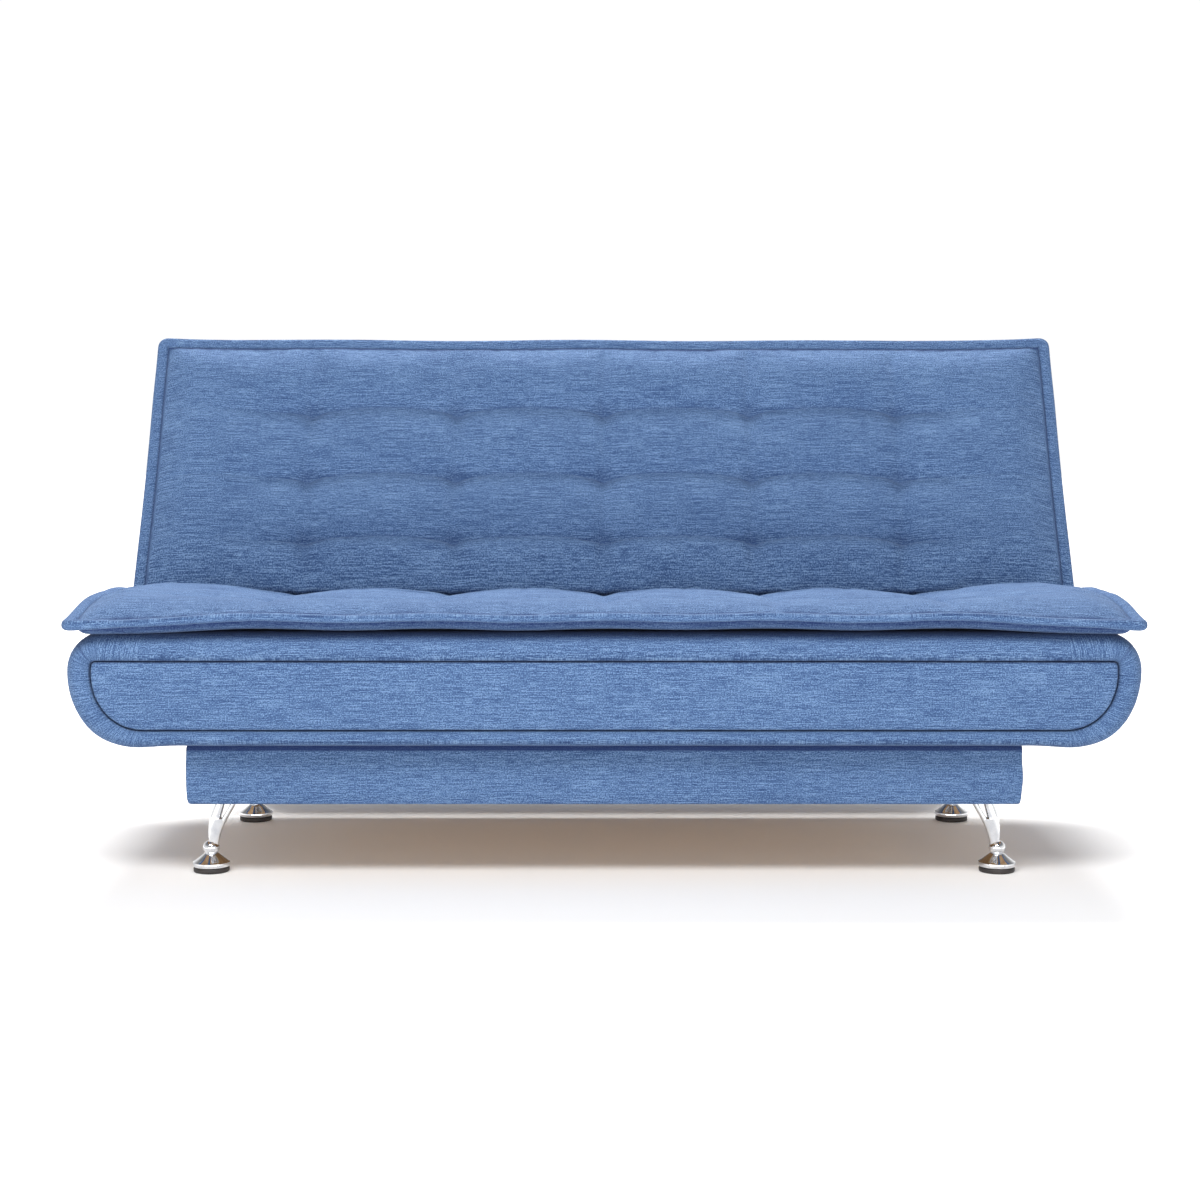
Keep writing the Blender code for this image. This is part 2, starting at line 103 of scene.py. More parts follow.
def ripple(a, b, seed, size):
    """A gentle random swell between about -1 and 1, of the given wavelength."""
    draw = np.random.default_rng(seed)
    total = 0
    for _ in range(6):
        angle, phase, scale = draw.uniform(0, pi), draw.uniform(0, tau), draw.uniform(0.7, 1.5)
        total = total + np.sin((a * cos(angle) + b * sin(angle)) * tau / size * scale + phase)
    return total / 3.5


# ---------------- materials
def linear(r, g, b):
    """Linear colour from 0 to 255 screen values, by the sRGB curve."""
    return [((c / 255 + 0.055) / 1.055) ** 2.4 if c > 10 else c / 3294 for c in (r, g, b)] + [1]


class Nodes:
    """A Principled material with short calls to add and join nodes."""

    def __init__(self, name):
        self.material = bpy.data.materials.new(name)
        self.material.use_nodes = True
        self.tree = self.material.node_tree
        self.shader = self.tree.nodes["Principled BSDF"]

    def feed(self, socket, value):
        """Joins a socket to another one, or gives it a plain value."""
        if isinstance(value, bpy.types.NodeSocket):
            self.tree.links.new(value, socket)
        else:
            socket.default_value = value

    def add(self, kind, inputs=(), **settings):
        node = self.tree.nodes.new(kind)
        for key, value in settings.items():
            setattr(node, key, value)
        for socket, value in dict(inputs).items():
            self.feed(node.inputs[socket], value)
        return node

    def place(self):
        """Where a point is on its own object."""
        return self.add("ShaderNodeTexCoord").outputs["Object"]

    def noise(self, vector, scale, detail=2.0):
        node = self.add("ShaderNodeTexNoise",
                        {"Vector": vector, "Scale": scale, "Detail": detail})
        return node.outputs["Fac"]

    def wave(self, vector, scale, distortion, detail, detail_scale, bands):
        node = self.add("ShaderNodeTexWave",
                        {"Vector": vector, "Scale": scale, "Distortion": distortion,
                         "Detail": detail, "Detail Scale": detail_scale},
                        bands_direction=bands)
        return node.outputs["Fac"]

    def stretch(self, vector, scale):
        node = self.add("ShaderNodeVectorMath", {0: vector, 1: scale}, operation="MULTIPLY")
        return node.outputs[0]

    def maths(self, operation, a, b=0.0):
        return self.add("ShaderNodeMath", {0: a, 1: b}, operation=operation).outputs[0]

    def total(self, first, *others):
        """Sum of (value, weight) pairs."""
        result = self.maths("MULTIPLY", *first)
        for pair in others:
            result = self.maths("ADD", result, self.maths("MULTIPLY", *pair))
        return result

    def span(self, value, low, high, to_low=0.0, to_high=1.0):
        node = self.add("ShaderNodeMapRange", {"Value": value, "From Min": low, "From Max": high,
                                               "To Min": to_low, "To Max": to_high})
        return node.outputs["Result"]

    def mix(self, factor, a, b):
        """Colour between a and b; the numbers are the sockets that hold colours."""
        return self.add("ShaderNodeMix", {0: factor, 6: a, 7: b}, data_type="RGBA").outputs[2]

    def ramp(self, factor, stops):
        node = self.add("ShaderNodeValToRGB", {"Fac": factor})
        marks = node.color_ramp.elements
        while len(marks) < len(stops):
            marks.new(0.5)
        for mark, (place, colour) in zip(marks, stops):
            mark.position = place
            mark.color = colour
        return node.outputs["Color"]

    def bump(self, height, strength, distance):
        node = self.add("ShaderNodeBump", {"Height": height, "Strength": strength,
                                           "Distance": distance})
        self.tree.links.new(node.outputs["Normal"], self.shader.inputs["Normal"])

    def set(self, **values):
        for key, value in values.items():
            self.feed(self.shader.inputs[key.replace("_", " ")], value)
        return self.material


def melange(name, dark, middle, light):
    """Woven melange cloth: long slubs along the weft, mottled yarn, a plain weave in relief."""
    m = Nodes(name)
    weave = m.add("ShaderNodeUVMap", uv_map="weave").outputs["UV"]
    long_slub = m.noise(m.stretch(weave, (13, 760, 1)), 1.0, 1.0)
    short_slub = m.noise(m.stretch(weave, (62, 800, 1)), 1.0, 1.0)
    mottle = m.noise(m.stretch(weave, (400, 480, 1)), 1.0, 1.0)
    cloud = m.noise(m.stretch(weave, (5, 9, 1)), 1.0)
    parts = m.total((long_slub, 0.30), (short_slub, 0.28), (mottle, 0.42))
    shade = m.span(parts, 0.40, 0.60)
    shade = m.maths("ADD", shade, m.span(cloud, 0.3, 0.7, -0.05, 0.05))
    colour = m.ramp(shade, ((0.0, dark), (0.5, middle), (1.0, light)))
    # Painted shade: a per-vertex attribute mixes the colour towards dark navy in seam grooves,
    # creases, tuft dimples, undersides and under the seat's overhang
    seam_and_painted_shade = m.add("ShaderNodeAttribute", attribute_name="seam_and_painted_shade").outputs["Fac"]
    colour = m.mix(seam_and_painted_shade, colour, linear(26, 40, 84))
    warp = m.wave(weave, 165.0, 1.2, 1.0, 300.0, "X")
    weft = m.wave(weave, 210.0, 1.6, 1.0, 260.0, "Y")
    m.bump(m.total((warp, 0.2), (weft, 0.5), (parts, 0.7)), 0.30, 0.0006)
    worn = m.span(parts, 0.35, 0.65, 0.98, 0.86)
    return m.set(Base_Color=colour, Roughness=worn, Sheen_Weight=0.08, Sheen_Roughness=0.5,
                 Sheen_Tint=linear(206, 220, 240), Specular_IOR_Level=0.15)


def wood(name, pale, dark, along="X"):
    """Planed timber with grain along one axis."""
    m = Nodes(name)
    grain_space = m.stretch(m.place(), (2.2, 30, 30) if along == "X" else (30, 2.2, 30))
    swirl = m.noise(grain_space, 1.3, 3.0)
    rings = m.wave(grain_space, 0.55, 7.0, 3.0, 1.1, "Z")
    fibre = m.noise(m.stretch(grain_space, (3, 12, 12)), 1.0)
    shade = m.total((rings, 0.55), (swirl, 0.35), (fibre, 0.2))
    colour = m.ramp(shade, ((0.15, pale), (0.85, dark)))
    m.bump(m.total((fibre, 1.0), (rings, 0.4)), 0.25, 0.0004)
    return m.set(Base_Color=colour, Roughness=m.span(fibre, 0.3, 0.7, 0.5, 0.72))


def zinc(name):
    """Zinc plated pressed steel with a faint spangle and dull patches."""
    m = Nodes(name)
    place = m.place()
    spangle = m.add("ShaderNodeTexVoronoi", {"Vector": place, "Scale": 260.0}).outputs["Color"]
    value = m.add("ShaderNodeSeparateColor", {"Color": spangle}).outputs[0]
    dull = m.noise(place, 45.0, 3.0)
    colour = m.mix(m.span(dull, 0.35, 0.7), linear(196, 199, 203), linear(164, 168, 172))
    rough = m.maths("ADD", m.span(value, 0, 1, 0.26, 0.36), m.span(dull, 0.3, 0.7, 0.0, 0.12))
    m.bump(m.noise(place, 900.0), 0.12, 0.0002)
    return m.set(Base_Color=colour, Roughness=rough, Metallic=1.0)


def polished(name):
    """Chrome plate with a little wear in random smears."""
    m = Nodes(name)
    place = m.place()
    smear = m.noise(place, 60.0, 3.0)
    colour = m.mix(m.span(smear, 0.4, 0.75), linear(228, 229, 231), linear(206, 208, 212))
    return m.set(Base_Color=colour, Roughness=m.span(smear, 0.3, 0.75, 0.05, 0.13), Metallic=1.0)


def rubber(name):
    """Moulded dark rubber with a fine grain."""
    m = Nodes(name)
    place = m.place()
    dust = m.noise(place, 38.0, 3.0)
    m.bump(m.noise(place, 900.0), 0.3, 0.0003)
    colour = m.mix(m.span(dust, 0.4, 0.7), linear(34, 30, 29), linear(58, 52, 50))
    return m.set(Base_Color=colour, Roughness=m.span(dust, 0.3, 0.7, 0.45, 0.65))


def lining(name):
    """Dark non-woven lining with pressed dots: a real kind of cover, whose darkness is also
    painted shade for the gaps round the seat.
    """
    m = Nodes(name)
    place = m.place()
    fibre = m.noise(place, 600.0, 3.0)
    dots = m.add("ShaderNodeTexVoronoi", {"Vector": place, "Scale": 320.0}).outputs["Distance"]
    m.bump(m.maths("ADD", fibre, dots), 0.4, 0.0004)
    colour = m.mix(fibre, linear(17, 21, 34), linear(34, 40, 56))
    return m.set(Base_Color=colour, Roughness=0.92, Sheen_Weight=0.1)


BLUE = melange("blue_melange", linear(42, 63, 101), linear(69, 94, 132), linear(107, 134, 169))
PINE_X = wood("pine_along", linear(214, 184, 140), linear(176, 136, 92))
PINE_Y = wood("pine_across", linear(214, 184, 140), linear(172, 132, 88), "Y")
PLY = wood("plywood_face", linear(206, 176, 134), linear(170, 132, 90))
ZINC = zinc("zinc_plate")
CHROME = polished("chrome_plate")
RUBBER = rubber("foot_rubber")
GAP_SHADE_LINING = lining("gap_shade_lining")


# ---------------- making pieces
def add_object(name, data):
    """A new object in the scene, from its mesh, lamp or camera."""
    made = bpy.data.objects.new(name, data)
    bpy.context.scene.collection.objects.link(made)
    return made


def make_piece(name, verts, faces, coords, materials, body, shown_for=(),
               subdivide=0, seam_and_painted_shade=None):
    """A smooth mesh object with weave coordinates, riding on a body."""
    mesh = bpy.data.meshes.new(name)
    mesh.from_pydata([tuple(v) for v in verts], [], faces)
    layer = mesh.uv_layers.new(name="weave")
    if callable(coords):
        for face in mesh.polygons:
            for loop in face.loop_indices:
                layer.data[loop].uv = coords(face, mesh.loops[loop].vertex_index)
    else:
        loops = np.empty(len(mesh.loops), dtype=np.int64)
        mesh.loops.foreach_get("vertex_index", loops)
        layer.data.foreach_set("uv", np.asarray(coords, float)[loops].ravel())
    for each in materials:
        mesh.materials.append(each)
    # Per-vertex painted shade, which the cloth material mixes into its colour
    if seam_and_painted_shade is not None:
        mesh.attributes.new("seam_and_painted_shade", "FLOAT", "POINT").data.foreach_set("value", seam_and_painted_shade)
    work = bmesh.new()
    work.from_mesh(mesh)
    if subdivide:
        caps = [f for f in work.faces if len(f.verts) > 8]
        bmesh.ops.triangulate(work, faces=caps)
    bmesh.ops.recalc_face_normals(work, faces=work.faces)
    work.to_mesh(mesh)
    work.free()
    mesh.shade_smooth()
    piece = add_object(name, mesh)
    if subdivide:
        finer = piece.modifiers.new("finer", "SUBSURF")
        finer.levels = finer.render_levels = subdivide
    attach(piece, body)
    if shown_for:
        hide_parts(*shown_for)
    return piece


def strip(rings, closed_ring=True, closed_path=False):
    """Vertices and quads of a surface through rings of equally many points."""
    count = len(rings[0])
    verts = np.concatenate([np.asarray(r, float) for r in rings])
    faces = []
    paths = len(rings) if closed_path else len(rings) - 1
    for r in range(paths):
        a, b = r * count, (r + 1) % len(rings) * count
        for i in range(count if closed_ring else count - 1):
            j = (i + 1) % count
            faces.append((a + i, a + j, b + j, b + i))
    return verts, faces


def capped(rings):
    """A closed tube through rings, with one flat face over each end."""
    verts, faces = strip(rings)
    count, total = len(rings[0]), len(verts)
    return verts, faces + [tuple(range(count)), tuple(range(total - count, total))]


def seat_space(points):
    """Panel coordinates to the world, with the seat at rest."""
    x, u, w = np.asarray(points, float).T
    return np.stack([x, HINGE.y - u, HINGE.z + w], 1)


def back_space(points):
    """Panel coordinates to the world, with the back raised as in the sofa."""
    x, u, w = np.asarray(points, float).T
    return np.stack([x, HINGE.y + u * cos(RAISE) - w * sin(RAISE),
                     HINGE.z + u * sin(RAISE) + w * cos(RAISE)], 1)


# ---------------- mattresses
SEAM_HALF = HALF - FLANGE
SEAM_NEAR, SEAM_FAR = NEAR + FLANGE - 0.002, REACH - FLANGE


def channel(row, x):
    """Distance from the hinge line of a sewn channel, which arches between its tufts."""
    t = np.mod(x / TUFT_PITCH + 2, 1)
    inside = smooth(2 * TUFT_PITCH + 0.02 - np.abs(x), 0, 0.04)
    return TUFT_ROWS[row] + ARCH * 4 * t * (1 - t) * inside


def tuft_pull(x):
    """How close x is to a column of tufts, from 0 to 1."""
    return sum(bell(x, c, 0.050) for c in COLUMNS)


ROW_STEPS = np.array([0, 0.022, 0.06, 0.12, 0.20, 0.30, 0.40, 0.50, 0.60, 0.70, 0.80, 0.88,
                      0.94, 0.978])


def pillow_grid(xs, crown, near_crown, near_round):
    """Grid points of the tufted top, its rows following the sewn channels."""
    marks = [np.full_like(xs, SEAM_NEAR), *(channel(r, xs) for r in range(3)),
             np.full_like(xs, SEAM_FAR)]
    fade = smooth(SEAM_HALF - 0.02 - np.abs(xs), 0.0, 0.30)
    pull = tuft_pull(xs)
    sunk = crown * (1 - (0.48 + 0.46 * pull) * fade)
    seam_and_painted_shade = np.full_like(xs, LIP)
    floors = [seam_and_painted_shade, sunk, sunk, sunk, seam_and_painted_shade]
    us, tops = [], []
    for i in range(4):
        for t in ROW_STEPS:
            rise = (4 * t * (1 - t)) ** (near_round if i == 0 else 0.60)
            rise *= near_crown if i == 0 else 1
            us.append(marks[i] * (1 - t) + marks[i + 1] * t)
            tops.append((floors[i] * (1 - t) + floors[i + 1] * t) * (1 - rise) + crown * rise)
    us.append(marks[4])
    tops.append(floors[4])
    u, top = np.array(us).T, np.array(tops).T
    x = np.repeat(xs[:, None], u.shape[1], 1)
    for c in COLUMNS:
        near_row = sum(bell(u, row, 0.045) for row in TUFT_ROWS)
        top = top - 0.0044 * bell(x, c, 0.014) * (0.40 + near_row)
    end = 1 - np.exp(-np.maximum(SEAM_HALF - np.abs(x), 0) / 0.020)
    return x, u, np.maximum(top * end, LIP)


def slab(x, u, top, bottom, count_x, count_u):
    """A closed body between two grids over the same (x, u) points, which run along u first."""
    total = count_x * count_u
    upper = [(a, a + count_u, a + count_u + 1, a + 1) for i in range(count_x - 1)
             for a in range(i * count_u, (i + 1) * count_u - 1)]
    faces = upper + [tuple(a + total for a in face[::-1]) for face in upper]
    loop = [*range(0, total, count_u),
            *range(total - count_u + 1, total),
            *range(total - count_u - 1, 0, -count_u),
            *range(count_u - 2, 0, -1)]
    for a, b in zip(loop, loop[1:] + loop[:1]):
        faces.append((b, a, a + total, b + total))
    return np.concatenate([np.stack([x, u, top], 1), np.stack([x, u, bottom], 1)]), faces


CLOTH = dict(quality=6, mass=0.25, use_pressure=True, uniform_pressure_force=2.2,
             tension_stiffness=14, compression_stiffness=14, shear_stiffness=6,
             bending_stiffness=0.35, shrink_min=-0.010, vertex_group_mass="pins",
             pin_stiffness=1.4)
PUFF_STEPS = 20             # frames of the cloth simulation
PUFF_CAP = 0.010            # that a point of the cloth may move


def inflate(name, verts, faces, pins):
    """Cloth simulation with air pressure, its result capped and returned as an array."""
    mesh = bpy.data.meshes.new(name)
    mesh.from_pydata([tuple(v) for v in verts], [], faces)
    trial = add_object(name, mesh)
    group = trial.vertex_groups.new(name="pins")
    for weight in np.unique(pins[pins > 0]):
        group.add([int(i) for i in np.nonzero(pins == weight)[0]], float(weight), "REPLACE")
    cloth = trial.modifiers.new("cloth", "CLOTH")
    for key, value in CLOTH.items():
        setattr(cloth.settings, key, value)
    cloth.settings.effector_weights.gravity = 0
    cloth.collision_settings.use_collision = False
    cloth.collision_settings.use_self_collision = False
    cloth.point_cache.frame_start, cloth.point_cache.frame_end = 1, PUFF_STEPS
    scene = bpy.context.scene
    for step in range(1, PUFF_STEPS + 1):
        scene.frame_set(step)
    graph = bpy.context.evaluated_depsgraph_get()
    result = trial.evaluated_get(graph).to_mesh()
    moved = np.empty(len(verts) * 3)
    result.vertices.foreach_get("co", moved)
    trial.evaluated_get(graph).to_mesh_clear()
    bpy.data.objects.remove(trial, do_unlink=True)
    scene.frame_set(1)
    shift = moved.reshape(-1, 3) - verts
    length = np.linalg.norm(shift, axis=1, keepdims=True)
    return verts + shift * np.minimum(1, PUFF_CAP / np.maximum(length, 1e-9))


def mattress_body(name, crown, near_shape, seed):
    """The tufted pad between its seams, in panel coordinates.

    Gives its vertices, faces, weave coordinates and its painted shade: along the seams and
    channels, in the tuft dimples, beside the flange and over the underside."""
    xs = np.linspace(-SEAM_HALF, SEAM_HALF, int(2 * SEAM_HALF / CELL) | 1)
    x, u, top = pillow_grid(xs, crown, *near_shape)
    count_x, count_u = x.shape
    row = np.tile(np.arange(count_u), count_x)
    x, u, top = x.ravel(), u.ravel(), top.ravel()
    edge = np.minimum(SEAM_HALF - np.abs(x), np.minimum(u - SEAM_NEAR, SEAM_FAR - u))
    sole = -SOLE + (SOLE - LIP) * np.exp(-np.maximum(edge, 0) / 0.007)
    rim = edge < 1e-6
    sole[rim] = -LIP
    top[rim] = LIP
    verts, faces = slab(x, u, top, sole, count_x, count_u)
    total = len(x)
    on_channel = (row % len(ROW_STEPS) == 0) & ~rim
    firm = np.round(smooth(2 * TUFT_PITCH + 0.18 - np.abs(x), 0, 0.2), 1)
    hold = np.where(on_channel, firm, 0)
    hold[rim] = 1
    pins = np.concatenate([hold, np.ones(total)])
    verts = inflate(f"{name}_trial", verts, faces, pins)
    top = verts[:total, 2]
    for spot_u in TUFT_ROWS:
        for c in COLUMNS:
            top -= TUFT_DEPTH * bell(np.hypot(x - c, u - spot_u), 0, TUFT_WIDTH)
    top += 0.0008 * ripple(x, u, seed, 0.19) * smooth(edge, 0.0, 0.05)
    coords = np.concatenate([np.stack([x, u], 1), np.stack([x, u + 1.37], 1)])
    # Painted shade: darker along the channels, in the tuft dimples and beside the flange, and over
    # the whole underside
    dimple_shade = sum(bell(np.hypot(x - c, u - spot_u - 0.004), 0, 0.014)
                 for spot_u in TUFT_ROWS for c in COLUMNS)
    inner = smooth(2 * TUFT_PITCH + 0.14 - np.abs(x), 0, 0.12)
    dark = 0.34 * np.maximum(on_channel * inner, dimple_shade)
    beside_flange_shade = np.where(edge < WELT, np.where(u < SEAM_NEAR + WELT, 0.25, 0.7), 0.0)
    seam_and_painted_shade = np.concatenate([np.maximum(dark, beside_flange_shade), np.maximum(beside_flange_shade, 0.3)])
    return verts, faces, coords, seam_and_painted_shade


def flange_ring(seed):
    """The fat sewn flange around a mattress, in panel coordinates."""
    mid, corner, step = FLANGE / 2 - 0.0005, 0.010, 0.008
    x_half, near, far = SEAM_HALF + mid, SEAM_NEAR - mid, SEAM_FAR + mid
    across, near_in, far_in = x_half - corner, near + corner, far - corner
    path = []
    spans = (((x_half, near_in), (x_half, far_in), (across, far_in)),
             ((across, far), (-across, far), (-across, far_in)),
             ((-x_half, far_in), (-x_half, near_in), (-across, near_in)),
             ((-across, near), (across, near), (across, near_in)))
    for turn, (start, end, centre) in enumerate(spans):
        count = int(np.hypot(end[0] - start[0], end[1] - start[1]) / step)
        for t in np.linspace(0, 1, count):
            path.append((start[0] + (end[0] - start[0]) * t, start[1] + (end[1] - start[1]) * t,
                         turn * pi / 2))
        for a in np.linspace(0, pi / 2, 6)[1:-1]:
            angle = turn * pi / 2 + a
            path.append((centre[0] + corner * cos(angle), centre[1] + corner * sin(angle), angle))
    path = np.array(path)
    swell = 1 + 0.07 * ripple(path[:, 0], path[:, 1], seed, 0.11)
    swell += 0.40 * bell(np.hypot(x_half - np.abs(path[:, 0]), far - path[:, 1]), 0, 0.045)
    rings, coords = [], []
    sides = 14
    for k in range(sides):
        a = tau * k / sides
        out = np.sign(cos(a)) * abs(cos(a)) ** 0.8 * (mid + 0.0028)
        rise = np.sign(sin(a)) * abs(sin(a)) ** 0.8 * FLANGE_THICK / 2 * swell
        x = path[:, 0] + out * np.cos(path[:, 2])
        u = path[:, 1] + out * np.sin(path[:, 2])
        rings.append(np.stack([x, u, rise], 1))
        coords.append(np.stack([x, u + rise * 1.2 + 0.4], 1))
    verts, faces = strip(rings, closed_path=True)
    return verts, faces, np.concatenate(coords)


def settle_seat(points):
    """The seat mattress sags over its front edge and droops at its front corners."""
    x, u, w = points.T
    front = smooth(u, 0.36, REACH)
    side = smooth(np.abs(x), 0.55, HALF)
    wave = 0.0015 * np.cos((x / TUFT_PITCH + 0.5) * tau) + 0.0010 * ripple(x, x * 0, 7, 0.4)
    drop = front * (0.003 + wave) + front ** 2 * side ** 2 * 0.015
    inside = 1 - smooth(np.abs(x), 0.62, 0.84)
    upper = smooth(w, -SOLE, -0.004)
    hollow = 0.005 + inside * (0.007 + 0.004 * np.cos(x / TUFT_PITCH * tau))
    sink = hollow * (1 - smooth(u, 0.10, 0.46)) * upper * (1 - smooth(np.abs(x), 0.86, HALF))
    lift = 0.016 * smooth(np.abs(x), 0.78, HALF) * smooth(u, 0.0, 0.22) * (1 - front)
    flare = 0.003 * front * side
    shifted_x = x + np.sign(x) * (flare - 0.004 * side * (1 - front))
    pull = 0.004 * (1 - np.abs(x / HALF) ** 3) * smooth(u, 0.45, REACH)
    rear = (1 - smooth(u, NEAR, 0.045)) * (1 - smooth(np.abs(x), 0.78, 0.88))
    return np.stack([shifted_x, u - pull + 0.010 * rear,
                     w - drop - sink + lift - 0.009 * rear], 1)


def settle_back(points):
    """The back mattress pulls in between its corners and tucks its lower flange down."""
    x, u, w = points.T
    top = smooth(u, 0.40, REACH)
    wave = 0.0020 * ripple(x, x * 0, 12, 0.45) + 0.003 - 0.006 * (1 - np.abs(x / HALF) ** 8)
    middle = 4 * (u / REACH) * (1 - u / REACH)
    pinch = 0.004 * middle * smooth(np.abs(x), 0.75, HALF) + 0.003 * top
    tuck = 1 - smooth(u, NEAR, 0.100)
    fold = 1 - smooth(u, NEAR, 0.036)
    inner = 1 - smooth(np.abs(x), 0.785, 0.815)
    by_arm = np.exp(-((np.abs(x) - 0.81) / 0.022) ** 4) * (1 - smooth(w, -0.02, -0.004))
    return np.stack([x - np.sign(x) * pinch,
                     u + wave * top + (0.020 * fold - 0.046 * tuck) * (1 - by_arm),
                     w - fold * (0.017 + 0.013 * inner)], 1)


def make_mattress(name, node, body, space, settle, crown, near_shape, seed):
    """A whole mattress: tufted pad and flange in one piece."""
    pad, pad_faces, pad_coords, pad_painted_shade = mattress_body(name, crown, near_shape, seed)
    ring, ring_faces, ring_coords = flange_ring(seed + 3)
    verts = space(settle(np.concatenate([pad, ring])))
    faces = pad_faces + [tuple(i + len(pad) for i in f) for f in ring_faces]
    coords = np.concatenate([pad_coords, ring_coords])
    # Painted shade on the pad only, none on the flange ring
    seam_and_painted_shade = np.concatenate([pad_painted_shade, np.zeros(len(ring))])
    piece = make_piece(name, verts, faces, coords, [BLUE], body, (node,), subdivide=1,
                       seam_and_painted_shade=seam_and_painted_shade)


def make_strip(name, half, section):
    """A thin strip of dark lining along x on the seat frame, from its section in (y, z); its
    darkness paints the shade of the gap.
    """
    xs = np.linspace(-half, half, 120)
    wave = 0.0003 * ripple(xs, xs * 0, 91, 0.15)
    rings = [np.stack([xs, y + wave, np.full(len(xs), z)], 1) for y, z in section]
    verts, faces = strip(rings, closed_ring=False, closed_path=True)
    count = len(xs)
    for end in (0, count - 1):
        faces.append(tuple(end + count * i for i in range(len(rings))))
    make_piece(name, verts, faces, verts[:, :2], [GAP_SHADE_LINING], "seat")


def make_linings():
    """Lining stapled over the seat frame's front rail, and a flap behind its rear rail, dark to
    paint the shade of the gaps round the seat.
    """
    low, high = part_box("seat_front_rail")
    front, top = low.y - 0.0004, SEAT_LOW.z - 0.0006
    make_strip("seat_front_gap_shade_lining", high.x, (
        (front - 0.0002, low.z + 0.004), (front - 0.0007, low.z + 0.0035),
        (front - 0.0012, low.z + 0.005), (front - 0.0012, high.z), (front - 0.0009, top - 0.001),
        (front - 0.0002, top), (front, top - 0.001), (front, high.z)))
    low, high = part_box("seat_rear_rail")
    rear, level = high.y + 0.0004, high.z
    make_strip("seat_rear_gap_shade_flap", high.x - 0.020, (
        (rear, level - 0.002), (rear, level - 0.018), (rear + 0.0010, level - 0.018),
        (rear + 0.0016, level - 0.006), (rear + 0.030, level - 0.009),
        (rear + 0.058, level - 0.004), (rear + 0.0585, level - 0.003),
        (rear + 0.058, level - 0.0025), (rear + 0.030, level - 0.0075),
        (rear + 0.002, level - 0.0045)))


# ---------------- chest outlines
BELLY_Z = FRONT_LOW.z + 0.132
PLUMP = 0.005               # that the padding swells past its solid at the widest place


def bezier(p0, p1, p2, p3, count):
    t = np.linspace(0, 1, count)[:, None]
    p0, p1, p2, p3 = (np.array(p, float) for p in (p0, p1, p2, p3))
    return (1 - t) ** 3 * p0 + 3 * t * (1 - t) ** 2 * p1 + 3 * t * t * (1 - t) * p2 + t ** 3 * p3


# Places along the straight top and bottom, closer together towards the corner seams
STRAIGHT = np.concatenate([np.linspace(0, 0.76, 64),
                           [0.770, 0.780, 0.788, 0.793, 0.7965, 0.7985, CORNER]])


def half_outline(lower, upper):
    """Right half of a closed outline, from the middle of its bottom to the middle of its top.

    Each half of its side is a Bezier curve, given by its four points."""
    foot, shoulder = lower[0], upper[-1]
    below = np.stack([STRAIGHT * foot[0] / CORNER, np.full_like(STRAIGHT, foot[1])], 1)
    curve = np.concatenate([bezier(*lower, 34)[:-1], bezier(*upper, 20)])
    above = np.stack([STRAIGHT[::-1] * shoulder[0] / CORNER,
                      np.full_like(STRAIGHT, shoulder[1])], 1)
    return np.concatenate([below[:-1], curve, above[1:]])


def boat_side(inset):
    """Lower and upper curve of the chest's bulging side, moved inward by inset."""
    top, bottom = FRONT_HIGH.z - inset, FRONT_LOW.z + inset
    wide = FRONT_HIGH.x + PLUMP - inset
    return (((CORNER, bottom), (0.896, bottom), (wide, 0.304), (wide, BELLY_Z)),
            ((wide, BELLY_Z), (wide, 0.408), (0.902 - inset, top), (0.862 - inset, top)))


def whole(half):
    """Closed outline from its right half, both ends on the middle line."""
    left = half[1:-1][::-1] * (-1, 1)
    return np.concatenate([half, left])


def slump(outline):
    """The padding's lower corners hang a little under the straight bottom."""
    x, z = np.abs(outline[:, 0]), outline[:, 1]
    low = 1 - smooth(z, FRONT_LOW.z + 0.008, FRONT_LOW.z + 0.07)
    return outline - np.stack([0 * x, 0.0038 * smooth(x, 0.74, 0.82) * low], 1)


def outer_outline(inset=0.0):
    """Right half of the chest's own outline."""
    return slump(half_outline(*boat_side(inset)))


def panel_outline():
    """The seam around the inset front panel."""
    top, bottom, wide = FRONT_HIGH.z - 0.0505, FRONT_LOW.z + 0.030, FRONT_HIGH.x - 0.040
    return half_outline(
        ((0.795, bottom), (0.846, bottom), (wide + 0.001, 0.312), (wide, BELLY_Z)),
        ((wide, BELLY_Z), (wide - 0.001, top - 0.001), (wide - 0.002, top), (wide - 0.012, top)))


def ladder(first, count):
    """Faces that close a ring made by whole(), between its lower and its upper half."""
    faces = []
    for way in (1, -1):
        for k in range((count // 2 + 1) // 2):
            a, b = way * k, way * (k + 1)
            quad = [first + i % count for i in (a, b, count // 2 - b, count // 2 - a)]
            if len(set(quad)) > 2:
                faces.append(tuple(dict.fromkeys(quad)))
    return faces


def place_ring(outline, y, middle=None, toward=0.0):
    """An outline stood up at y, part of the way towards another one."""
    x, z = outline.T
    if middle is not None:
        x = x + (middle[:, 0] - x) * toward
        z = z + (middle[:, 1] - z) * toward
    return np.stack([x, np.broadcast_to(y, x.shape), z], 1)


